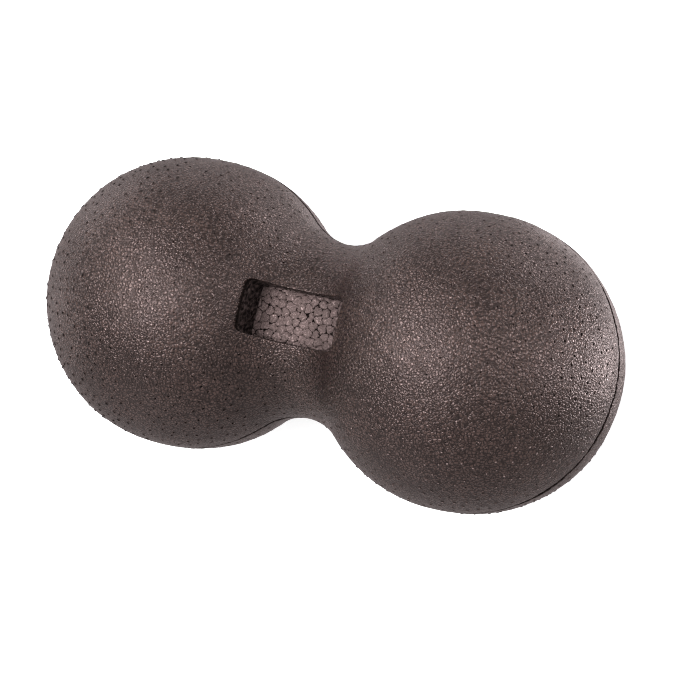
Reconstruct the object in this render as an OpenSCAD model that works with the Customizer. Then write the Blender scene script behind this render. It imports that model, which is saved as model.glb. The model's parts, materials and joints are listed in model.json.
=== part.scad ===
// Double massage ball: two round foam lobes joined by a waist with a shallow pocket.
// The ball lies along X. The parting plane is Z = 0 and the pocket faces +Z.
// The origin is the middle of the waist, on the long axis.

/* [Lobes] */
// Diameter of each lobe
lobe_d = 80; // [70:1:84]
// Distance between the centres of the two lobes
lobe_spacing = 82; // [80:1:96]
// Width of the straight band round the middle of each lobe
band_w = 2.8; // [1:0.2:4]

/* [Waist] */
// Diameter of the waist where it is narrowest
waist_d = 48.32; // [44:0.04:54]

/* [Pocket] */
// Length of the pocket along the ball
pocket_l = 28.2; // [18:0.2:32]
// Width of the pocket across the ball
pocket_w = 14.4; // [10:0.2:18]
// Depth of the pocket below the middle of the waist
pocket_depth = 4.9; // [3:0.1:8]
// Radius of the pocket's corners
pocket_corner_r = 1.6; // [0.5:0.1:4]

/* [Skin] */
// Thickness of the dense moulded skin
skin_t = 1.2; // [0.8:0.1:2]

/* [Parting line] */
// Thickness of the joint between the two halves
bond_t = 0.6; // [0.2:0.1:1]
// How far the joint is set back from the surface
groove_depth = 0.7; // [0.2:0.1:1.5]

/* [Hidden] */
$fn = 128;

lobe_r = lobe_d / 2;
waist_r = waist_d / 2;

// Each lobe is two equal spheres, one at each edge of its straight band.
inner_centre = (lobe_spacing - band_w) / 2;
outer_centre = (lobe_spacing + band_w) / 2;

// The waist is a round fillet, tangent to both lobes and to the waist diameter.
fillet_r = (pow(inner_centre, 2) + pow(waist_r, 2) - pow(lobe_r, 2)) / (2 * (lobe_r - waist_r));
fillet_centre_r = waist_r + fillet_r;
// Slope of the line from a lobe's centre to the fillet's centre, on which they touch
touch_cos = inner_centre / (lobe_r + fillet_r);

pocket_floor_z = waist_r - pocket_depth;
half_joint = bond_t / 2;
reach = outer_centre + lobe_r + 10;

skin_colour = [0.25, 0.24, 0.23];
core_colour = [0.36, 0.35, 0.34];
joint_colour = [0.12, 0.12, 0.12];

// Half section of the ball: X is the radius and Y runs along the ball. Its slices meet on
// straight lines across the long axis: waist, then inner zone, band and end cap of each lobe.
// inset moves the whole outline inwards by the same distance everywhere.
module outline(inset = 0) {
    r = lobe_r - inset;
    // Whole thousandths, so that neighbouring slices share exactly the same line
    waist_end = round(1000 * (inner_centre - r * touch_cos)) / 1000;
    difference() {
        translate([0, -waist_end]) square([fillet_centre_r, 2 * waist_end]);
        translate([fillet_centre_r, 0]) circle(r = fillet_r + inset);
    }
    for (side = [0, 1]) mirror([0, side]) {
        slice(waist_end, inner_centre, r) translate([0, inner_centre]) circle(r = r);
        translate([0, inner_centre]) square([r, band_w]);
        slice(outer_centre, reach, r) translate([0, outer_centre]) circle(r = r);
    }
}

// The part of a half section that lies between two distances along the ball
module slice(start, end, r) {
    intersection() {
        children();
        translate([0, start]) square([2 * r, end - start]);
    }
}

// The whole ball, turned to lie along X
module ball(inset = 0) {
    rotate([0, 90, 0]) rotate_extrude() outline(inset);
}

// Everything on one side of the joint: side is 1 for the upper half and -1 for the lower half
module half_space(side) {
    translate([-reach, -reach, side > 0 ? half_joint : -half_joint - reach])
        cube([2 * reach, 2 * reach, reach]);
}

// The pocket, open upwards from its flat floor
module pocket() {
    straight_l = pocket_l - 2 * pocket_corner_r;
    straight_w = pocket_w - 2 * pocket_corner_r;
    translate([0, 0, pocket_floor_z]) linear_extrude(height = reach) {
        square([pocket_l, straight_w], center = true);
        square([straight_l, pocket_w], center = true);
        for (x = [-1, 1], y = [-1, 1]) {
            translate([x * straight_l / 2, y * straight_w / 2]) circle(r = pocket_corner_r);
        }
    }
}

module half_skin(side) {
    intersection() {
        difference() {
            ball();
            ball(skin_t);
        }
        half_space(side);
    }
}

module half_core(side) {
    intersection() {
        ball(skin_t);
        half_space(side);
    }
}

module upper_skin() {
    color(skin_colour) difference() {
        half_skin(1);
        pocket();
    }
}

module lower_skin() {
    color(skin_colour) half_skin(-1);
}

module upper_foam_core() {
    color(core_colour) difference() {
        half_core(1);
        pocket();
    }
}

module lower_foam_core() {
    color(core_colour) half_core(-1);
}

// A sheet with the ball's own outline, set back from the surface all the way round
module bond_line() {
    color(joint_colour) rotate([0, 0, 90]) linear_extrude(height = bond_t, center = true) {
        outline(groove_depth);
        mirror([1, 0]) outline(groove_depth);
    }
}

upper_skin();
lower_skin();
upper_foam_core();
lower_foam_core();
bond_line();
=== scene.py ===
"""Looks of the double massage ball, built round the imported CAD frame. Metres, in the row frame."""

import json
import math

import bmesh
import bpy
import numpy as np
from mathutils import Euler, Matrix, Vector, kdtree


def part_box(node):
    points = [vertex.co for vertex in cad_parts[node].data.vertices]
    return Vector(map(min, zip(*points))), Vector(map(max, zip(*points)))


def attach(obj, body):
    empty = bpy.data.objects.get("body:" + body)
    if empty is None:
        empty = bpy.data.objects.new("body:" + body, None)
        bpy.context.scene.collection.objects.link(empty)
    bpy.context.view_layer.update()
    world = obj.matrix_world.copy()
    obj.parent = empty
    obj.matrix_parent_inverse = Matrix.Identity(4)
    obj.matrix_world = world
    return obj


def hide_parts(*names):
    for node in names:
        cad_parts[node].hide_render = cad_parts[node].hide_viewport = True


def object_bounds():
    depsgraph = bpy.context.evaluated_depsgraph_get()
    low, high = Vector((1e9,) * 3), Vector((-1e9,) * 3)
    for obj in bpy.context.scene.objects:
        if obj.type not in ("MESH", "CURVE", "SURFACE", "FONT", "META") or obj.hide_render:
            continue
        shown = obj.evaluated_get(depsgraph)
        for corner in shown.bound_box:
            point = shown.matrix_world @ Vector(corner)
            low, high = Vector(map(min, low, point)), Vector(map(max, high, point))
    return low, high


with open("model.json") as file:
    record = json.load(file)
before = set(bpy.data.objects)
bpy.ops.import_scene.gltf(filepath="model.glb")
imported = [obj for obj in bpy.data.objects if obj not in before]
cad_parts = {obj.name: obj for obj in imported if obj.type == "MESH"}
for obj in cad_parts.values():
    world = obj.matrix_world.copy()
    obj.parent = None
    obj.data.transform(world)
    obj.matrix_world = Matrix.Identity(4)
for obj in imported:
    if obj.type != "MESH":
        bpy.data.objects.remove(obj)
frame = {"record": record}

cad_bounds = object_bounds()

MM = 0.001
SEED = 7

# Sizes of the ball. The lobes, the length and the joint come from the frame.
skin_low, skin_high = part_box("upper_skin")
LOBE_R = skin_high.y
HALF_LENGTH = skin_high.x
HALF_JOINT = skin_low.z
BAND = 2.8 * MM
WAIST_R = 24.16 * MM
SKIN_T = 1.2 * MM
GROOVE_DEPTH = 0.7 * MM
OUTER_CENTRE = HALF_LENGTH - LOBE_R
INNER_CENTRE = OUTER_CENTRE - BAND
FILLET_R = (INNER_CENTRE**2 + WAIST_R**2 - LOBE_R**2) / (2 * (LOBE_R - WAIST_R))
FILLET_CENTRE = WAIST_R + FILLET_R
FILLET_TURN = math.asin(INNER_CENTRE / (LOBE_R + FILLET_R))

# The pocket. Its floor is the mount of that name.
mounts = {mount["name"]: mount for mount in frame["record"]["mounts"]}
POCKET_FLOOR = mounts["pocket_floor"]["pos_m"][2]
POCKET_HALF = np.array([14.1, 7.2]) * MM
POCKET_CORNER = 1.6 * MM
LIP_R = 0.55 * MM
LIP_SWELL = 0.14 * MM
LIP_SWELL_REACH = 0.7 * MM

# How finely the seen and the hidden surfaces are drawn, and how far past the pocket's mouth the
# patch of surface reaches that is drawn to fit it
FINE_GAP = 0.54 * MM
COARSE_GAP = 1.6 * MM
BLOCK_REACH = 4.2 * MM


# ---------------------------------------------------------------- outline and noise

class Outline:
    """The ball's half outline, moved inwards by inset: distance along it runs from a tip to the waist."""

    def __init__(self, inset=0.0):
        self.r = LOBE_R - inset
        self.fillet = FILLET_R + inset
        self.cap = self.r * math.pi / 2
        self.band = self.cap + BAND
        self.inner = self.band + self.r * FILLET_TURN
        self.length = self.inner + self.fillet * FILLET_TURN

    def at(self, s):
        """(x, radius) at distances s along the outline"""
        s = np.asarray(s, float)
        turn = np.where(s < self.cap, s, np.maximum(s - BAND, self.cap)) / self.r
        middle = np.where(s < self.cap, OUTER_CENTRE, INNER_CENTRE)
        x = middle + self.r * np.cos(turn)
        x = np.where((s >= self.cap) & (s < self.band), OUTER_CENTRE - (s - self.cap), x)
        radius = self.r * np.sin(turn)
        waist_turn = np.maximum(self.length - s, 0) / self.fillet
        waist = s > self.inner
        return (np.where(waist, self.fillet * np.sin(waist_turn), x),
                np.where(waist, FILLET_CENTRE - self.fillet * np.cos(waist_turn), radius))

    def radius_at(self, x):
        """The ball's radius at a distance x along its axis, for the waist and the inner zones"""
        x = np.abs(x)
        end = self.fillet * math.sin(FILLET_TURN)
        waist = FILLET_CENTRE - np.sqrt(np.maximum(self.fillet**2 - x**2, 0))
        lobe = np.sqrt(np.maximum(self.r**2 - (x - INNER_CENTRE) ** 2, 0))
        return np.where(x < end, waist, lobe)


def outward(points):
    """The ball's outward direction at points on or near its surface"""
    x, radial = np.abs(points[:, 0]), np.hypot(points[:, 1], points[:, 2])
    lobe = np.clip(x, INNER_CENTRE, OUTER_CENTRE)
    in_waist = x * FILLET_CENTRE + radial * INNER_CENTRE < INNER_CENTRE * FILLET_CENTRE
    along = np.where(in_waist, -x, x - lobe)
    out = np.where(in_waist, FILLET_CENTRE - radial, radial)
    size = np.maximum(np.hypot(along, out), 1e-9)
    radial = np.maximum(radial, 1e-9)
    n = np.stack([along * np.sign(points[:, 0]),
                  out * points[:, 1] / radial,
                  out * points[:, 2] / radial], 1)
    return n / size[:, None]


def ripple(points, wavelength, seed, count=40):
    """Smooth random waves through space with about the given wavelength, near 1 in size"""
    rng = np.random.default_rng(SEED + seed)
    ways = rng.normal(size=(count, 3))
    ways /= np.linalg.norm(ways, axis=1)[:, None]
    rate = 2 * math.pi / wavelength * rng.uniform(0.7, 1.4, count)
    phase = rng.uniform(0, 2 * math.pi, count)
    total = np.zeros(len(points))
    for way, k, p in zip(ways, rate, phase):
        total += np.cos(points @ way * k + p)
    return total * math.sqrt(2 / count)


def waves(points, parts, seed):
    """Ripples added together, one for each (size, wavelength), with seeds that count up"""
    return sum(size * ripple(points, wavelength, seed + i) for i, (size, wavelength) in enumerate(parts))


# ---------------------------------------------------------------- mesh building

class Sheet:
    """Points and faces being gathered for one mesh"""

    def __init__(self):
        self.points = []
        self.count = 0
        self.faces = []

    def add(self, points):
        points = np.asarray(points, float).reshape(-1, 3)
        first = self.count
        self.points.append(points)
        self.count += len(points)
        return np.arange(first, self.count)

    def array(self):
        return np.concatenate(self.points)

    def strip(self, a, b, closed=True):
        """Quads between two rows of the same length"""
        for i in range(len(a) if closed else len(a) - 1):
            j = (i + 1) % len(a)
            self.faces.append((a[i], a[j], b[j], b[i]))

    def zip(self, a, where_a, b, where_b):
        """Triangles between two closed loops with different counts, matched by their places from 0 to 1"""
        i = j = 0
        na, nb = len(a), len(b)
        where_a, where_b = np.append(where_a, 1.0), np.append(where_b, 1.0)
        while i < na or j < nb:
            if j >= nb or (i < na and where_a[i + 1] <= where_b[j + 1]):
                self.faces.append((a[i], a[(i + 1) % na], b[j % nb]))
                i += 1
            else:
                self.faces.append((a[i % na], b[(j + 1) % nb], b[j]))
                j += 1


def half_surface(sheet, inset, gap, edge_z, with_block):
    """One half of the ball's surface, above Z = edge_z.

    Rings of points run round the long axis: near each tip a ring gains one point a quarter, and past
    the caps the count stays. Returns the rim loop with each point's place along it, and, if
    with_block, the loop and places of an opening left in the middle for the pocket."""
    line = Outline(inset)
    start = line.r * math.asin(edge_z / line.r)
    caps = round((line.cap - start) / gap)
    rest = round((line.length - line.cap) / gap)
    s = np.concatenate([start + (line.cap - start) * np.arange(caps + 1) / caps,
                        line.cap + (line.length - line.cap) * np.arange(1, rest + 1) / rest])
    x, radius = line.at(s)
    quarter = np.minimum(np.arange(len(s)), caps)
    sides = [(1, i) for i in range(len(s))] + [(-1, i) for i in range(len(s) - 2, -1, -1)]
    rings = []
    for side, i in sides:
        low = math.asin(min(edge_z / radius[i], 1.0))
        angle = low + (math.pi - 2 * low) * np.arange(2 * quarter[i] + 1) / max(2 * quarter[i], 1)
        ring = np.stack([np.full(len(angle), side * x[i]), radius[i] * np.cos(angle),
                         radius[i] * np.sin(angle)], 1)
        rings.append(sheet.add(ring))
    middle = len(s) - 1
    reach_s = rest_columns = 0
    if with_block:
        pocket_end = POCKET_HALF[0] + BLOCK_REACH
        reach_s = int(np.argmax(x[::-1] > pocket_end))
        angle_reach = math.asin((POCKET_HALF[1] + 0.8 * BLOCK_REACH) / WAIST_R)
        rest_columns = math.ceil(angle_reach / (math.pi / (2 * caps)))
    for k in range(len(rings) - 1):
        a, b = rings[k], rings[k + 1]
        if len(a) == len(b):
            columns = np.arange(len(a) - 1)
            if middle - reach_s <= k < middle + reach_s:
                columns = columns[(columns < caps - rest_columns) | (columns >= caps + rest_columns)]
            for c in columns:
                sheet.faces.append((a[c], b[c], b[c + 1]))
                sheet.faces.append((a[c], b[c + 1], a[c + 1]))
            continue
        if len(a) > len(b):
            a, b = b, a
        m = (len(b) - 1) // 2
        for q in (0, 1):
            inner, outer = a[q * (m - 1):], b[q * m:]
            for c in range(m):
                sheet.faces.append((outer[c], outer[c + 1], inner[c]))
            for c in range(m - 1):
                sheet.faces.append((inner[c], outer[c + 1], inner[c + 1]))
    whole = 2 * line.length
    along = np.concatenate([s, whole - s[-2::-1]]) / (2 * whole)
    rim = [r[0] for r in rings] + [r[-1] for r in rings[-2:0:-1]]
    rim_place = list(along) + list(1 - along[-2:0:-1])
    rim_place = np.array(rim_place) - along[0]
    if not with_block:
        return np.array(rim), rim_place, None, None
    lo, hi = middle - reach_s, middle + reach_s
    left, right = caps - rest_columns, caps + rest_columns
    loop = ([rings[k][left] for k in range(lo, hi)] + [rings[hi][c] for c in range(left, right)]
            + [rings[k][right] for k in range(hi, lo, -1)] + [rings[lo][c] for c in range(right, left, -1)])
    corners = (2 * reach_s, 2 * rest_columns)
    place = [(side + i / corners[side % 2]) / 4 for side in range(4) for i in range(corners[side % 2])]
    return np.array(rim), rim_place, np.array(loop), np.array(place)


def pocket_loop(place):
    """Points of the pocket's outline and their outward directions, for places from 0 to 1 round it"""
    side = (place * 4).astype(int)
    t = 2 * (place * 4 - side) - 1
    u = np.choose(side, [-t, -np.ones_like(t), t, np.ones_like(t)])
    v = np.choose(side, [np.ones_like(t), -t, -np.ones_like(t), t])
    square = np.stack([u, v], 1) * POCKET_HALF
    core = np.clip(square, POCKET_CORNER - POCKET_HALF, POCKET_HALF - POCKET_CORNER)
    out = square - core
    out /= np.linalg.norm(out, axis=1)[:, None]
    return core + out * POCKET_CORNER, out


def on_surface(flat, line):
    """Points of the upper surface above flat (x, y) points"""
    z = np.sqrt(line.radius_at(flat[:, 0]) ** 2 - flat[:, 1] ** 2)
    return np.column_stack([flat, z])


def make_object(name, sheet, points, material, smooth=True, layers=None):
    """A mesh object from a sheet's faces, with one number a point for each named layer"""
    mesh = bpy.data.meshes.new(name)
    mesh.from_pydata(points.tolist(), [], [tuple(int(i) for i in f) for f in sheet.faces])
    mesh.validate()
    for key, values in (layers or {}).items():
        layer = mesh.attributes.new(key, "FLOAT", "POINT")
        layer.data.foreach_set("value", np.asarray(values, np.float32))
    mesh.materials.append(material)
    obj = bpy.data.objects.new(name, mesh)
    bpy.context.scene.collection.objects.link(obj)
    face_outwards(mesh)
    mesh.polygons.foreach_set("use_smooth", np.full(len(mesh.polygons), smooth))
    return obj


def face_outwards(mesh):
    """Deletes points that no face uses, and turns every face outwards"""
    bm = bmesh.new()
    bm.from_mesh(mesh)
    bmesh.ops.delete(bm, geom=[v for v in bm.verts if not v.link_faces], context="VERTS")
    bmesh.ops.recalc_face_normals(bm, faces=bm.faces)
    bm.to_mesh(mesh)
    bm.free()


# ---------------------------------------------------------------- steam-vent marks

# Jitter is a share of the pitch, and the margin at each end of a row across the waist is in radians
VENT_PITCH = 3.4 * MM
VENT_JITTER = 0.14
VENT_MISSING = 0.06
WAIST_JITTER = 0.1
WAIST_MARGIN = 0.1
WAIST_ROWS = np.arange(-2.5, 3.0) * VENT_PITCH
LOWEST_VENT = 2.2 * MM

# A mark is drawn with two rings round its middle, the foot and the edge: the radius of each, and the
# largest share of the way to the next point of the surface that it may take
MARK_RINGS = ((0.45 * MM, 0.85), (0.34 * MM, 0.66))
LIP_RISE = 0.05 * MM
HOLE_DROP = 0.12 * MM
HOLE_DEPTH = 0.55 * MM
NUB_RISE = 0.12 * MM
STUB_RISE = 0.17 * MM
MARK_SHAPES = {
    # kind: (height of the foot, of the edge and of the middle), (painted shade of the same three: shade
    # inside pinholes, a painted shadow round a nub's foot, stubs painted dark as if shaded)
    "pinhole": ((LIP_RISE, -HOLE_DROP, -HOLE_DEPTH), (0.0, 0.9, 1.0)),
    "nub": ((LIP_RISE, NUB_RISE, 1.5 * NUB_RISE), (0.25, 0.0, 0.0)),
    "stub": ((0.4 * STUB_RISE, STUB_RISE, 1.15 * STUB_RISE), (0.9, 1.0, 1.0)),
}

# Where the kinds are: steepness runs from 0 on top of a lobe to 1 at its side
NUB_SIDE = -0.3 * LOBE_R
NUB_SHARE = 0.8
STUB_STEEPNESS = 0.06
STUB_SHARE = 0.8
SIDE_STEEPNESS = 0.3
TOP_NUB_SHARE = 0.3


def vent_places(side):
    """Steam vents in staggered rings round each lobe's top, and in rows along the waist"""
    rng = np.random.default_rng(SEED + side)
    places = []
    for lobe in (-1, 1):
        rings = int(LOBE_R * math.pi / 2 / VENT_PITCH)
        for ring in range(1, rings + 1):
            polar = (ring - 0.25) / rings * math.pi / 2
            count = max(round(2 * math.pi * LOBE_R * math.sin(polar) / VENT_PITCH), 6)
            for k in range(count):
                turn = 2 * math.pi * (k + 0.5 * (ring % 2)) / count
                wobble = rng.normal(0, VENT_JITTER * VENT_PITCH / LOBE_R, 2)
                if rng.random() < VENT_MISSING:
                    continue
                p, t = polar + wobble[0], turn + wobble[1] / max(math.sin(polar), 0.1)
                out = np.array([math.sin(p) * math.cos(t), math.sin(p) * math.sin(t), math.cos(p)])
                shift = OUTER_CENTRE if lobe * out[0] > 0 else INNER_CENTRE
                place = LOBE_R * out + np.array([lobe * shift, 0, 0])
                if place[0] * lobe > FILLET_R * math.sin(FILLET_TURN):
                    places.append(place)
    for x in WAIST_ROWS:
        radius = float(Outline().radius_at(x))
        for angle in np.arange(WAIST_MARGIN, math.pi - WAIST_MARGIN, VENT_PITCH / radius):
            wobble = rng.normal(0, WAIST_JITTER * VENT_PITCH, 2)
            a = angle + wobble[1] / radius
            places.append(np.array([x + wobble[0], radius * math.cos(a), radius * math.sin(a)]))
    return np.array(places)


def clear_of_pocket(p):
    """Whether a place is outside the patch of surface that is drawn round the pocket"""
    return abs(p[0]) > POCKET_HALF[0] + 1.2 * BLOCK_REACH or abs(p[1]) > POCKET_HALF[1] + BLOCK_REACH


def vent_look(place, rng):
    """The mark that the vent at a place has left: its kind, size, strength of painted highlight and depth of
    painted shade.

    Stubs, painted dark as if shaded, stand round the -X tip, and nubs with a painted highlight on the
    +X lobe's -Y side. The rest are pinholes, with painted shade inside, and some nubs among them on top
    of the lobes."""
    steep = 1 - abs(place[2]) / LOBE_R
    size = min(1.0, 0.55 + 0.9 * steep) * rng.uniform(0.8, 1.2)
    draw, highlight_strength, tone = rng.random(), rng.uniform(0.2, 1.0), rng.uniform(0.2, 1.0)
    if place[0] > 0 and place[1] < NUB_SIDE:
        if draw < NUB_SHARE:
            return "nub", size, highlight_strength, tone
        return "pinhole", 0.6 * size, 0.0, tone
    if place[0] < -OUTER_CENTRE and steep > STUB_STEEPNESS and draw < STUB_SHARE:
        return "stub", size, 0.0, 0.45 + 0.5 * tone
    if steep > SIDE_STEEPNESS:
        return "pinhole", 0.9 * size, 0.0, 0.55 + 0.45 * tone
    if draw < TOP_NUB_SHARE:
        return "nub", 0.8 * size, 0.5 * highlight_strength, tone
    return "pinhole", size, 0.0, 0.7 * tone


def add_marks(sheet, points, main_count, places):
    """Turns the surface points nearest to the places into pinholes, nubs and stubs.

    Returns the new points, how much painted shade each has, up to 1 in a pinhole, and how strong a painted
    highlight each has, up to 1 on a nub."""
    tree = kdtree.KDTree(main_count)
    for i in range(main_count):
        tree.insert(points[i], i)
    tree.balance()
    rng = np.random.default_rng(SEED + main_count)
    chosen = {}
    for place in places:
        _, index, _ = tree.find(place)
        chosen[index] = vent_look(place, rng)
    around = {}
    for f, face in enumerate(sheet.faces):
        if len(face) == 3:
            for v in face:
                if v in chosen:
                    around.setdefault(v, []).append(f)
    near = set()
    gone = set()
    fresh = []
    extra, darkness, painted_highlights = [], {}, {}
    total = len(points)
    for v in chosen:
        fan = around.get(v, [])
        corners = {int(c) for f in fan for c in sheet.faces[f]}
        if len(fan) < 4 or corners & near or len(corners) != len(fan) + 1:
            continue
        near |= corners
        kind, size, highlight_strength, tone = chosen[v]
        lifts, shades = MARK_SHAPES[kind]
        out = outward(points[v][None])[0]
        rings = {}
        for c in corners - {v}:
            step = points[c] - points[v]
            reach = np.linalg.norm(step)
            for ring, (radius, most) in enumerate(MARK_RINGS):
                share = min(radius * size / reach, most)
                extra.append(points[v] + step * share + out * lifts[ring])
                rings[c, ring] = total + len(extra) - 1
                darkness[rings[c, ring]] = shades[ring] * tone
        for f in fan:
            face = [int(i) for i in sheet.faces[f]]
            at = face.index(v)
            p, q = face[(at + 1) % 3], face[(at + 2) % 3]
            fresh.append((rings[p, 0], p, q, rings[q, 0]))
            fresh.append((rings[p, 1], rings[p, 0], rings[q, 0], rings[q, 1]))
            fresh.append((v, rings[p, 1], rings[q, 1]))
            gone.add(f)
        points[v] = points[v] + out * lifts[2]
        darkness[v] = shades[2] * tone
        painted_highlights[v] = highlight_strength
    sheet.faces = [f for i, f in enumerate(sheet.faces) if i not in gone] + fresh
    points = np.concatenate([points, np.array(extra)])
    dark, painted_highlight = np.zeros(len(points)), np.zeros(len(points))
    dark[list(darkness)] = list(darkness.values())
    painted_highlight[list(painted_highlights)] = list(painted_highlights.values())
    return points, dark, painted_highlight


# ---------------------------------------------------------------- the pieces

# The rim of each skin rounds over into the groove: height above the joint's middle, and inset, in mm
RIM_START = 1.0 * MM
RIM_WANDER = 0.13 * MM
RIM_WAVES = ((0.6, 2.2 * MM), (0.5, 1.0 * MM))
RIM_WEAR = 0.45
RIM = [(0.86, 0.0), (0.74, 0.01), (0.64, 0.04), (0.56, 0.09), (0.50, 0.17), (0.46, 0.29), (0.44, 0.45),
       (0.42, 0.75), (0.42, 1.0)]
LIP_STEPS = 8
# Painted shade on the pocket's lip and wall
LIP_PAINTED_SHADE = 0.9
# Unevenness of the skin: (height in mm, wavelength)
SKIN_WAVES = ((0.06, 22 * MM), (0.018, 4.5 * MM))


def rim_rows(sheet, rim, points, seed):
    """Rows of points from the skin's lower edge round its rim and into the groove"""
    base = points[rim]
    flat = outward(base * np.array([1, 1, 0]))
    rough = waves(base, RIM_WAVES, seed)
    wear = np.clip(1 + RIM_WEAR * rough, 0.2, 2.2)
    rows, dark = [rim], []
    for z, inset in RIM:
        z, inset = z * MM, inset * MM
        lean = (RIM_START**2 - z**2) / (2 * LOBE_R)
        worn = inset * wear if inset < GROOVE_DEPTH else inset + 0 * wear
        row = base + flat * (lean - worn)[:, None]
        row[:, 2] = z + (RIM_WANDER * np.clip(rough, -1, 1.5) if inset > 0 else 0)
        rows.append(sheet.add(row))
        # Painted shade, deepening from the rim's shoulder into the groove and uneven along it
        dark.append((rows[-1], min(1.0, 8 * inset / MM) * np.clip(0.8 + 0.3 * rough, 0.3, 1.0)))
    for a, b in zip(rows, rows[1:]):
        sheet.strip(a, b)
    return rows[-1], dark


def lip_rows(sheet, loop, place, line):
    """Rows from the opening in the surface to the pocket's swollen, rounded lip and down its wall, with
    painted shade on the lip's inner rounding and the wall
    """
    flat, out = pocket_loop(place)
    block = np.concatenate(sheet.points)[loop][:, :2]
    rows = [loop]
    lip_start = flat + out * LIP_R
    for k in range(1, LIP_STEPS):
        ring = on_surface(block + (lip_start - block) * k / LIP_STEPS, line)
        away = np.linalg.norm(ring[:, :2] - lip_start, axis=1)
        ring[:, 2] += LIP_SWELL * np.exp(-((away / LIP_SWELL_REACH) ** 2))
        rows.append(sheet.add(ring))
    dark = []
    # Painted shade grows over the lip's rounding as it turns down, and is full on the wall
    for angle in np.radians(range(0, 91, 18)):
        ring = on_surface(flat + out * LIP_R * (1 - math.sin(angle)), line)
        ring[:, 2] += LIP_SWELL - LIP_R * (1 - math.cos(angle))
        rows.append(sheet.add(ring))
        dark.append((rows[-1], LIP_PAINTED_SHADE * max(0.0, math.sin(angle) - 0.6) / 0.4))
    wall = on_surface(flat, line)
    wall[:, 2] -= SKIN_T * 0.95
    rows.append(sheet.add(wall))
    dark.append((rows[-1], LIP_PAINTED_SHADE))
    for a, b in zip(rows, rows[1:]):
        sheet.strip(a, b)
    return rows[-1], dark


def build_skin(name, upper, material):
    """One half's dense skin: fine outer surface, rounded rim, vent marks, and a plain inner surface"""
    sheet, line = Sheet(), Outline()
    rim, rim_place, loop, place = half_surface(sheet, 0.0, FINE_GAP, RIM_START, upper)
    main_count = sheet.count
    seed = 10 if upper else 20
    groove, dark_rows = rim_rows(sheet, rim, sheet.array(), seed)
    if upper:
        wall, lip_dark = lip_rows(sheet, loop, place, line)
        dark_rows += lip_dark
    outer_count = sheet.count
    inner_rim, inner_place, inner_loop, inner_loop_place = half_surface(
        sheet, SKIN_T, COARSE_GAP, HALF_JOINT, upper)
    sheet.zip(groove, rim_place, inner_rim, inner_place)
    if upper:
        flat, _ = pocket_loop(inner_loop_place)
        row = sheet.add(on_surface(flat, Outline(SKIN_T)))
        sheet.strip(inner_loop, row)
        sheet.zip(wall, place, row, inner_loop_place)
    points = sheet.array()
    skin = points[:outer_count]
    swell = waves(skin, SKIN_WAVES, seed + 2)
    points[:outer_count] = skin + outward(skin) * (swell * MM)[:, None]
    places = [place for place in vent_places(1 if upper else 2)
              if place[2] > LOWEST_VENT and (not upper or clear_of_pocket(place))]
    points, dark, painted_highlight = add_marks(sheet, points, main_count, places)
    # Painted shade of the groove, lip and wall rows
    for row, depth in dark_rows:
        dark[row] = depth
    if not upper:
        points[:, 2] *= -1
    # The nub layer carries the painted highlight of the nubs
    return make_object(name, sheet, points, material, layers={"hole": dark, "nub": painted_highlight})


def flat_base(sheet, rim):
    """Closes a half across its joint with strips from side to side"""
    half = len(rim) // 2
    one, other = rim[:half + 1], np.concatenate([rim[:1], rim[:half - 1:-1]])
    sheet.faces.append((one[0], one[1], other[1]))
    for i in range(1, half - 1):
        sheet.faces.append((one[i], one[i + 1], other[i + 1], other[i]))
    sheet.faces.append((one[half - 1], one[half], other[half - 1]))


# The cores stay just clear of the skins and of the joint. On the pocket's floor and walls, tilt is a
# slope, and tone and painted shade run from 0 to 1.
CORE_INSET = SKIN_T + 0.04 * MM
CORE_BASE = HALF_JOINT + 0.02 * MM
MOUTH_DROP = 0.05 * MM
BEAD_PITCH = 2.45 * MM
BEAD_ROW = 0.87 * BEAD_PITCH
BEAD_JITTER = 0.19 * BEAD_PITCH
BEADS_APART = 0.92 * BEAD_PITCH
RELAX_ROUNDS = 6
RELAX_PUSH = 0.35
BEAD_STEP = 0.17 * MM
BEAD_LEVEL_MM = 0.11
BEAD_TILT = 0.07
BEAD_BEND = 0.16 * MM
BEAD_BEND_LENGTH = 1.7 * MM
BEAD_DOME_R = 6.5 * MM
BEAD_SOFTNESS = 0.10 * MM
CREVICE = 0.27 * MM
CREVICE_DEPTH = 0.30 * MM
CREVICE_CURVE = 2.2
FLOOR_LIFT = 0.10 * MM
FLOOR_TUCK = 0.30 * MM
EDGE_DROP = 0.25 * MM
EDGE_REACH = 0.4 * MM
# Painted shade on the pocket's cut wall, mottled so that it is uneven
WALL_PAINTED_SHADE = 0.60
WALL_SHADE_MOTTLE = 0.11
WALL_SHADE_MOTTLE_LENGTH = 1.3 * MM
WALL_TONE = 0.2
WALL_WAVES = ((0.10, 2.6 * MM), (0.05, 1.1 * MM))
WALL_LEVELS = 34
POINTS_AROUND = 420


def bead_centres():
    """Bead centres over the pocket's floor: jittered rows, relaxed so that neighbours keep apart"""
    rng = np.random.default_rng(SEED + 40)
    reach = POCKET_HALF + BEAD_PITCH
    centres = []
    for row, y in enumerate(np.arange(-reach[1], reach[1], BEAD_ROW)):
        for x in np.arange(-reach[0] + (row % 2) * BEAD_PITCH / 2, reach[0], BEAD_PITCH):
            centres.append((x, y))
    centres = np.array(centres) + rng.normal(0, BEAD_JITTER, (len(centres), 2))
    for _ in range(RELAX_ROUNDS):
        apart = centres[:, None] - centres[None]
        far = np.linalg.norm(apart, axis=2) + np.eye(len(centres)) * 9
        push = np.clip(BEADS_APART - far, 0, None) / far
        centres = centres + RELAX_PUSH * (apart * push[:, :, None]).sum(1)
    return centres


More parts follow.
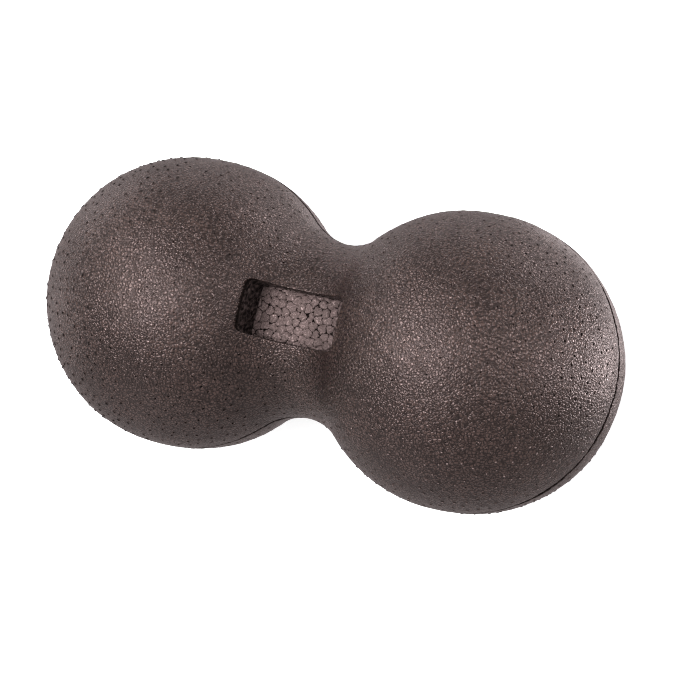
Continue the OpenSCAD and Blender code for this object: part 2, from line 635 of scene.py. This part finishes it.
def bead_surface(flat):
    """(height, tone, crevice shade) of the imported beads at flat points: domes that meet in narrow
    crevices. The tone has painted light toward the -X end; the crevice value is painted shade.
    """
    centres = bead_centres()
    rng = np.random.default_rng(SEED + 41)
    level = rng.normal(0, BEAD_LEVEL_MM, len(centres)) * MM
    tilt = rng.normal(0, BEAD_TILT, (len(centres), 2))
    tone = 0.4 * rng.uniform(0, 1, len(centres))
    # Painted light: beads toward the -X end are made paler, lifting the shadow that the wall there casts on
    # the floor
    tone = tone + 0.6 * np.clip(0.5 - centres[:, 0] / (1.6 * POCKET_HALF[0]), 0, 1)
    level_flat = np.column_stack([flat, np.zeros(len(flat))])
    bend = np.stack([ripple(level_flat, BEAD_BEND_LENGTH, seed) for seed in (42, 43)], 1)
    bent = flat + BEAD_BEND * bend
    apart = bent[:, None] - centres[None]
    far = np.linalg.norm(apart, axis=2)
    order = np.argsort(far, axis=1)[:, :4]
    near = np.take_along_axis(far, order, 1)
    own = order[:, 0]
    edges = []
    for k in (1, 2, 3):
        between = np.linalg.norm(centres[order[:, k]] - centres[own], axis=1)
        edges.append((near[:, k] ** 2 - near[:, 0] ** 2) / (2 * between))
    edges = np.array(edges)
    edge = np.maximum(-BEAD_SOFTNESS * np.log(np.exp(-edges / BEAD_SOFTNESS).sum(0)), 0)
    rise = np.clip(edge / CREVICE, 0, 1)
    rise = 1 - (1 - rise) ** CREVICE_CURVE
    local = apart[np.arange(len(flat)), own]
    height = level[own] + (local * tilt[own]).sum(1) - near[:, 0] ** 2 / (2 * BEAD_DOME_R)
    return height - CREVICE_DEPTH * (1 - rise), tone[own], 1 - rise


def build_upper_core(material):
    """The upper foam core: plain where the skin hides it, packed beads on the pocket's floor and wall"""
    sheet, line = Sheet(), Outline(CORE_INSET)
    rim, _, loop, place = half_surface(sheet, CORE_INSET, COARSE_GAP, CORE_BASE, True)
    flat_base(sheet, rim)
    flat, _ = pocket_loop(place)
    mouth = sheet.add(on_surface(flat, line))
    sheet.strip(loop, mouth)
    fine_place = np.arange(POINTS_AROUND) / POINTS_AROUND
    fine, out = pocket_loop(fine_place)
    rim_z = on_surface(fine, line)[:, 2] - MOUTH_DROP
    floor_z = POCKET_FLOOR - FLOOR_TUCK
    rows = []
    for k in range(WALL_LEVELS + 1):
        ring = np.column_stack([fine, rim_z + (floor_z - rim_z) * k / WALL_LEVELS])
        if 0 < k < WALL_LEVELS:
            ring[:, :2] += out * wall_bulge(ring)[:, None]
        rows.append(sheet.add(ring))
    sheet.zip(mouth, place, rows[0], fine_place)
    for a, b in zip(rows, rows[1:]):
        sheet.strip(a, b)
    tone = np.full(sheet.count, WALL_TONE)
    # Painted shade: mottled on the wall here, and in the crevices between beads on the floor below
    painted_foam_shade = WALL_PAINTED_SHADE + WALL_SHADE_MOTTLE * ripple(sheet.array(), WALL_SHADE_MOTTLE_LENGTH, 52)
    last = rows[-1]
    # The floor closes in rings that shrink to a line along the pocket
    rings = int(POCKET_HALF[1] / BEAD_STEP)
    for k in range(1, rings):
        share = k / rings
        ring_flat = np.column_stack([
            fine[:, 0] * (1 - share * POCKET_HALF[1] / POCKET_HALF[0]), fine[:, 1] * (1 - share)])
        height, ring_tone, ring_painted_shade = bead_surface(ring_flat)
        edge_drop = EDGE_DROP * max(0.0, 1 - k * BEAD_STEP / EDGE_REACH) ** 2
        ring = sheet.add(np.column_stack([ring_flat, POCKET_FLOOR + FLOOR_LIFT + height - edge_drop]))
        tone, painted_foam_shade = np.append(tone, ring_tone), np.append(painted_foam_shade, ring_painted_shade)
        sheet.strip(last, ring)
        last = ring
    fold_shut(sheet, last)
    return make_object("upper_foam", sheet, sheet.array(), material,
                       layers={"tone": tone, "painted_foam_shade": painted_foam_shade})


def wall_bulge(ring):
    """How far the cut beads of the wall stand out or in"""
    return waves(ring, WALL_WAVES, 50) * MM


def fold_shut(sheet, ring):
    """Closes a flattened ring by joining each point to its mirror image across the long line"""
    quarter = len(ring) // 4
    # Places 0 to 1/4 run along the +Y side and 1/2 to 3/4 along the -Y side, the other way
    top = ring[:quarter + 1]
    bottom = ring[2 * quarter:3 * quarter + 1][::-1]
    for i in range(quarter):
        sheet.faces.append((top[i], top[i + 1], bottom[i + 1], bottom[i]))
    left = ring[quarter:2 * quarter + 1]
    right = np.append(ring[3 * quarter:], ring[0])
    for end in (left, right):
        half = len(end) // 2
        for i in range(half):
            j = len(end) - 1 - i
            if j - 1 > i + 1:
                sheet.faces.append((end[i], end[i + 1], end[j - 1], end[j]))
            elif j - 1 == i + 1:
                sheet.faces.append((end[i], end[i + 1], end[j]))


def build_lower_core(material):
    """The lower foam core, plain because the skin hides it"""
    sheet = Sheet()
    rim, _, _, _ = half_surface(sheet, CORE_INSET, COARSE_GAP, CORE_BASE, False)
    flat_base(sheet, rim)
    points = sheet.array()
    points[:, 2] *= -1
    return make_object("lower_foam", sheet, points, material,
                       layers={"tone": np.full(len(points), 0.5), "painted_foam_shade": np.zeros(len(points))})


JOINT_POINTS = 440
JOINT_LEVELS = np.array([0.28, 0.1, -0.1, -0.28]) * MM
JOINT_WAVES = ((0.14, 3.0 * MM), (0.10, 1.2 * MM))


def build_joint(material):
    """The thin joint between the halves: its edge wanders a little in the groove"""
    sheet, line = Sheet(), Outline(GROOVE_DEPTH)
    s = line.length * np.arange(JOINT_POINTS + 1) / JOINT_POINTS
    x, radius = line.at(s)
    x, radius = np.append(x, -x[-2::-1]), np.append(radius, radius[-2::-1])
    loop = np.concatenate([np.column_stack([x, radius]), np.column_stack([x, -radius])[-2:0:-1]])
    edge = np.column_stack([loop, np.zeros(len(loop))])
    wander = waves(edge, JOINT_WAVES, 60)
    edge = edge + outward(edge) * (np.clip(wander, -0.4, 0.35) * MM)[:, None]
    rows = []
    for z in JOINT_LEVELS:
        row = edge.copy()
        row[:, 2] = z
        rows.append(sheet.add(row))
    for a, b in zip(rows, rows[1:]):
        sheet.strip(a, b)
    flat_base(sheet, rows[0])
    flat_base(sheet, rows[-1])
    return make_object("bond_seam", sheet, sheet.array(), material, smooth=False)


# ---------------------------------------------------------------- materials

class Nodes:
    """A short way to write a material's node tree"""

    def __init__(self, name):
        self.material = bpy.data.materials.new(name)
        self.material.use_nodes = True
        self.tree = self.material.node_tree
        self.surface = self.tree.nodes["Principled BSDF"]
        coords = self.tree.nodes.new("ShaderNodeTexCoord")
        self.place = coords.outputs["Object"]

    def put(self, socket, value):
        if isinstance(value, bpy.types.NodeSocket):
            self.tree.links.new(value, socket)
        else:
            socket.default_value = value

    def noise(self, size, detail=2.0, rough=0.5, place=None):
        n = self.tree.nodes.new("ShaderNodeTexNoise")
        self.put(n.inputs["Vector"], place or self.place)
        self.put(n.inputs["Scale"], 1 / size)
        self.put(n.inputs["Detail"], detail)
        self.put(n.inputs["Roughness"], rough)
        return n.outputs["Fac"]

    def cells(self, size, place):
        """Distance from the borders of random cells"""
        n = self.tree.nodes.new("ShaderNodeTexVoronoi")
        n.feature = "DISTANCE_TO_EDGE"
        self.put(n.inputs["Vector"], place)
        self.put(n.inputs["Scale"], 1 / size)
        return n.outputs["Distance"]

    def shifted(self, size, amount):
        """The place, pushed about by noise of the given size"""
        n = self.tree.nodes.new("ShaderNodeTexNoise")
        self.put(n.inputs["Vector"], self.place)
        self.put(n.inputs["Scale"], 1 / size)
        centred = self.vector("SUBTRACT", n.outputs["Color"], (0.5, 0.5, 0.5))
        return self.vector("ADD", self.place, self.vector("SCALE", centred, scale=amount))

    def vector(self, operation, a, b=None, scale=None):
        n = self.tree.nodes.new("ShaderNodeVectorMath")
        n.operation = operation
        self.put(n.inputs[0], a)
        if b is not None:
            self.put(n.inputs[1], b)
        if scale is not None:
            self.put(n.inputs["Scale"], scale)
        return n.outputs[0]

    def math(self, operation, a, b):
        n = self.tree.nodes.new("ShaderNodeMath")
        n.operation = operation
        self.put(n.inputs[0], a)
        self.put(n.inputs[1], b)
        return n.outputs[0]

    def ramp(self, value, low, high, to_low=0.0, to_high=1.0):
        """value between low and high, eased onto to_low to to_high"""
        n = self.tree.nodes.new("ShaderNodeMapRange")
        n.interpolation_type = "SMOOTHSTEP"
        for key, v in zip(("Value", "From Min", "From Max", "To Min", "To Max"),
                          (value, low, high, to_low, to_high)):
            self.put(n.inputs[key], v)
        return n.outputs["Result"]

    def mix(self, share, a, b):
        n = self.tree.nodes.new("ShaderNodeMix")
        n.data_type = "RGBA"
        self.put(n.inputs["Factor"], share)
        self.put(n.inputs["A"], (*a, 1) if isinstance(a, tuple) else a)
        self.put(n.inputs["B"], (*b, 1) if isinstance(b, tuple) else b)
        return n.outputs["Result"]

    def layer(self, name):
        n = self.tree.nodes.new("ShaderNodeAttribute")
        n.attribute_name = name
        return n.outputs["Fac"]

    def bump(self, height_mm):
        """Bump from a height in millimetres"""
        n = self.tree.nodes.new("ShaderNodeBump")
        self.put(n.inputs["Height"], height_mm)
        self.put(n.inputs["Distance"], MM)
        self.put(self.surface.inputs["Normal"], n.outputs["Normal"])


SKIN_DARK = (0.030, 0.0205, 0.0168)
SKIN_LIGHT = (0.065, 0.0455, 0.0385)
# Painted shade in the skin's creases
CREASE_PAINTED_SHADE = (0.006, 0.0045, 0.0038)
# Painted shade: in pinholes, on stubs, round nub feet, into the groove and on the pocket's lip and wall
SKIN_SHADE_PAINT = (0.004, 0.0035, 0.003)
# Painted highlight on the nubs
NUB_PAINTED_HIGHLIGHT = (0.50, 0.42, 0.40)
SKIN_SHEEN = (1.0, 0.87, 0.85, 1)
BEAD_DARK = (0.105, 0.086, 0.081)
BEAD_PALE = (0.310, 0.257, 0.247)
BEAD_SPECK = (0.060, 0.048, 0.045)
# Painted shade in the bead crevices and on the pocket's cut wall
FOAM_SHADE_PAINT = (0.006, 0.005, 0.0045)
JOINT_DARK = (0.003, 0.0025, 0.002)
JOINT_PALE = (0.010, 0.008, 0.007)

# The skin's patterns: sizes, the ramps that shape them, and their heights as bump in millimetres
BEND_LENGTH = 0.8 * MM
BEND = 0.62 * MM
PEBBLE = 0.92 * MM
PEBBLE_RAMP = (0.0, 0.33)
PEBBLE_SHARE = 0.62
WRINKLE = 0.55 * MM
WRINKLE_RAMP = (0.34, 0.62)
WRINKLE_SHARE = 0.38
RAISED_RAMP = (0.22, 0.75)
GRAIN_HEIGHT = 0.145
FINE_GRAIN = 0.28 * MM
FINE_HEIGHT = 0.02
HIDDEN_BEADS = 2.6 * MM
HIDDEN_BEAD_RAMP = (0.0, 0.22)
HIDDEN_BEAD_HEIGHT = 0.025
CLOUDS = 14 * MM
CLOUD_RAMP = (0.32, 0.68)
SKIN_ROUGHNESS = 0.11
ROUGH_PATCHES = 5 * MM
PATCH_ROUGHNESS = 0.10
CREASE_ROUGHNESS = 0.15
CREASE_GLOSS = 0.62

# The bare beads' speckle, the ramp of the painted shade in their crevices and on the wall, and the roughness
# and gloss of plain and speckled or creviced foam
SPECKLE = 0.42 * MM
SPECKLE_RAMP = (0.40, 0.60)
SPECKLE_SHARE = 0.75
SPECKLE_HEIGHT = 0.09
FOAM_SHADE_RAMP = (0.30, 0.76)
BEAD_LUMPS = 0.9 * MM
BEAD_LUMP_HEIGHT = 0.20
BEAD_ROUGHNESS = (0.22, 0.45)
BEAD_GLOSS = (0.8, 0.1)

JOINT_PATCHES = 1.2 * MM
JOINT_ROUGHNESS = (0.6, 0.9)
TABLE_CLOUDS = 90 * MM
TABLE_DIM = 0.98
TABLE_ROUGHNESS = 0.7


def skin_material():
    """Moulded foam skin: wrinkled leather pebbles with painted shade in the creases and faint beads beneath,
    satin, with painted highlights on nubs and painted shade in the vent marks, groove and pocket lip
    """
    n = Nodes("moulded_skin_look")
    bent = n.shifted(BEND_LENGTH, BEND)
    pebble = n.ramp(n.cells(PEBBLE, bent), *PEBBLE_RAMP)
    wrinkle = n.ramp(n.noise(WRINKLE, 1.0, 0.4, bent), *WRINKLE_RAMP)
    fine = n.noise(FINE_GRAIN, 2.0, 0.6)
    beads = n.ramp(n.cells(HIDDEN_BEADS, n.shifted(4 * MM, 1.5 * MM)), *HIDDEN_BEAD_RAMP)
    grain = n.math("ADD", n.math("MULTIPLY", pebble, PEBBLE_SHARE),
                   n.math("MULTIPLY", wrinkle, WRINKLE_SHARE))
    height = n.math("ADD", n.math("MULTIPLY", grain, GRAIN_HEIGHT), n.math("MULTIPLY", fine, FINE_HEIGHT))
    height = n.math("ADD", height, n.math("MULTIPLY", beads, HIDDEN_BEAD_HEIGHT))
    n.bump(height)
    raised = n.ramp(grain, *RAISED_RAMP)
    cloudy = n.ramp(n.noise(CLOUDS, 4.0, 0.6), *CLOUD_RAMP)
    # Painted shade in the creases between the raised grain
    colour = n.mix(raised, CREASE_PAINTED_SHADE, n.mix(cloudy, SKIN_DARK, SKIN_LIGHT))
    # Painted highlight on the nubs
    colour = n.mix(n.layer("nub"), colour, NUB_PAINTED_HIGHLIGHT)
    # Painted shade in pinholes, on stubs and round nub feet, into the groove, and on the pocket's lip and
    # wall
    colour = n.mix(n.layer("hole"), colour, SKIN_SHADE_PAINT)
    n.put(n.surface.inputs["Base Color"], colour)
    patches = n.math("MULTIPLY", n.noise(ROUGH_PATCHES, 3.0), PATCH_ROUGHNESS)
    sunk = n.math("SUBTRACT", 1.0, raised)
    rough = n.math("ADD", n.math("ADD", SKIN_ROUGHNESS, patches), n.math("MULTIPLY", sunk, CREASE_ROUGHNESS))
    n.put(n.surface.inputs["Roughness"], rough)
    gloss = n.ramp(raised, 0.0, 1.0, CREASE_GLOSS, 1.0)
    gloss = n.math("MULTIPLY", gloss, n.math("SUBTRACT", 1.0, n.layer("hole")))
    n.put(n.surface.inputs["Specular IOR Level"], gloss)
    n.put(n.surface.inputs["Specular Tint"], SKIN_SHEEN)
    return n.material


def bead_material():
    """Bare foam beads: paler and less glossy than the skin, each a little different, with painted shade in
    the crevices and on the pocket's wall, and painted light on the beads toward the -X end
    """
    n = Nodes("bead_foam_look")
    # Bead tone: differs at random, with painted light toward the -X end
    colour = n.mix(n.layer("tone"), BEAD_DARK, BEAD_PALE)
    speckle = n.ramp(n.noise(SPECKLE, 3.0, 0.6), *SPECKLE_RAMP)
    colour = n.mix(n.math("MULTIPLY", speckle, SPECKLE_SHARE), colour, BEAD_SPECK)
    # Painted shade in the bead crevices and on the wall
    colour = n.mix(n.ramp(n.layer("painted_foam_shade"), *FOAM_SHADE_RAMP), colour, FOAM_SHADE_PAINT)
    n.put(n.surface.inputs["Base Color"], colour)
    height = n.math("SUBTRACT", n.math("MULTIPLY", n.noise(BEAD_LUMPS, 2.0), BEAD_LUMP_HEIGHT),
                    n.math("MULTIPLY", speckle, SPECKLE_HEIGHT))
    n.bump(height)
    n.put(n.surface.inputs["Roughness"], n.ramp(speckle, 0.0, 1.0, *BEAD_ROUGHNESS))
    n.put(n.surface.inputs["Specular IOR Level"], n.ramp(n.layer("painted_foam_shade"), 0.2, 0.8, *BEAD_GLOSS))
    n.put(n.surface.inputs["Specular Tint"], SKIN_SHEEN)
    return n.material


def joint_material():
    """The joint between the halves, deep in the groove: near black and rough"""
    n = Nodes("joint_look")
    patchy = n.noise(JOINT_PATCHES, 3.0)
    n.put(n.surface.inputs["Base Color"], n.mix(patchy, JOINT_DARK, JOINT_PALE))
    n.put(n.surface.inputs["Roughness"], n.ramp(patchy, 0.3, 0.7, *JOINT_ROUGHNESS))
    n.bump(n.math("MULTIPLY", patchy, 0.1))
    return n.material


def floor_material():
    """A white table lit from within, so that shadows on it stay pale"""
    n = Nodes("floor_look")
    soft = n.noise(TABLE_CLOUDS, 2.0)
    neutral = tuple(min(LIGHT_TINT) / c for c in LIGHT_TINT)
    dim = tuple(TABLE_DIM * c for c in neutral)
    n.put(n.surface.inputs["Base Color"], n.mix(soft, dim, neutral))
    n.put(n.surface.inputs["Roughness"], TABLE_ROUGHNESS)
    n.put(n.surface.inputs["Specular IOR Level"], 0.0)
    n.put(n.surface.inputs["Emission Color"], (1, 1, 1, 1))
    n.put(n.surface.inputs["Emission Strength"], TABLE_GLOW)
    return n.material


# ---------------------------------------------------------------- studio

CAMERA_PLACE = Vector((316.9, -57.8, 744.0)) * MM
CAMERA_TURN = Euler(np.radians([9.70, 21.25, 14.99]))
CAMERA_LENS = 160.1
CAMERA_SENSOR = 36.0

# Soft lights round the ball, all aimed at it. Each has a clock angle, in degrees clockwise from
# straight up as the camera sees it, a lean away from the camera's direction, a width and a power.
# Those that lean past the floor shine up through it, as on a light table.
LIGHT_DISTANCE = 1.1
LIGHT_TINT = (1.0, 0.87, 0.87)
LIGHTS = [
    ("key_front", 275, 28, 0.38, 2.7),
    ("key_left", 285, 45, 0.40, 4.8),
    ("key_low_left", 250, 45, 0.40, 2.4),
    ("front_right", 65, 26, 0.45, 1.3),
    ("fill_up_left", 315, 62, 0.50, 3.0),
    ("fill_right", 90, 62, 0.50, 4.0),
    ("edge_up_right", 36, 95, 0.50, 3.1),
    ("edge_low", 216, 95, 0.50, 0.5),
    ("edge_right", 90, 112, 0.45, 5.8),
    ("table_up", 0, 125, 0.60, 0.7),
    ("table_left", 270, 125, 0.60, 0.9),
    ("table_up_left", 315, 125, 0.60, 1.2),
    ("table_right", 60, 145, 0.70, 1.1),
]
WORLD_STRENGTH = 0.45
TABLE_GLOW = 0.69
TABLE_HALF = 3.0


def add_camera():
    data = bpy.data.cameras.new("camera")
    data.lens = CAMERA_LENS
    data.sensor_width = CAMERA_SENSOR
    camera = bpy.data.objects.new("camera", data)
    camera.location = CAMERA_PLACE
    camera.rotation_euler = CAMERA_TURN
    bpy.context.scene.collection.objects.link(camera)
    bpy.context.scene.camera = camera


def add_light(name, clock, lean, width, power):
    """A soft disk that faces the ball"""
    clock, lean = math.radians(clock), math.radians(lean)
    seen = Vector((math.sin(lean) * math.sin(clock), math.sin(lean) * math.cos(clock), math.cos(lean)))
    seen.rotate(CAMERA_TURN)
    data = bpy.data.lights.new(name, "AREA")
    data.shape = "DISK"
    data.size = width
    data.energy = power
    data.color = LIGHT_TINT
    light = bpy.data.objects.new(name, data)
    light.location = seen * LIGHT_DISTANCE
    light.rotation_euler = (-seen).to_track_quat("-Z", "Y").to_euler()
    bpy.context.scene.collection.objects.link(light)


def add_floor():
    """The table. Reflections, bounced light and shadow rays pass through it."""
    mesh = bpy.data.meshes.new("floor")
    corners = [(-1, -1), (1, -1), (1, 1), (-1, 1)]
    mesh.from_pydata([(TABLE_HALF * x, TABLE_HALF * y, 0) for x, y in corners], [], [(0, 1, 2, 3)])
    mesh.materials.append(floor_material())
    floor = bpy.data.objects.new("floor", mesh)
    floor.location.z = cad_bounds[0].z
    floor.visible_shadow = False
    floor.visible_glossy = False
    floor.visible_diffuse = False
    bpy.context.scene.collection.objects.link(floor)


def add_studio():
    world = bpy.data.worlds.new("studio")
    world.use_nodes = True
    background = world.node_tree.nodes["Background"]
    background.inputs["Color"].default_value = (*LIGHT_TINT, 1)
    background.inputs["Strength"].default_value = WORLD_STRENGTH
    bpy.context.scene.world = world
    for light in LIGHTS:
        add_light(*light)
    add_floor()
    add_camera()
    scene = bpy.context.scene
    scene.view_settings.view_transform = "Standard"
    # These two keep the grain crisp
    scene.cycles.filter_width = 1.0
    scene.cycles.denoising_prefilter = "NONE"


# ---------------------------------------------------------------- assembly

skin_look, bead_look, joint_look = skin_material(), bead_material(), joint_material()
pieces = [
    (build_skin("upper_skin_grained", True, skin_look), "upper_skin", "moulded_skin"),
    (build_skin("lower_skin_grained", False, skin_look), "lower_skin", "moulded_skin"),
    (build_upper_core(bead_look), "upper_foam_core", "bead_foam"),
    (build_lower_core(bead_look), "lower_foam_core", "bead_foam"),
    (build_joint(joint_look), "bond_line", "joint"),
]
for piece, node, slot in pieces:
    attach(piece, "root")
    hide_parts(node)
add_studio()
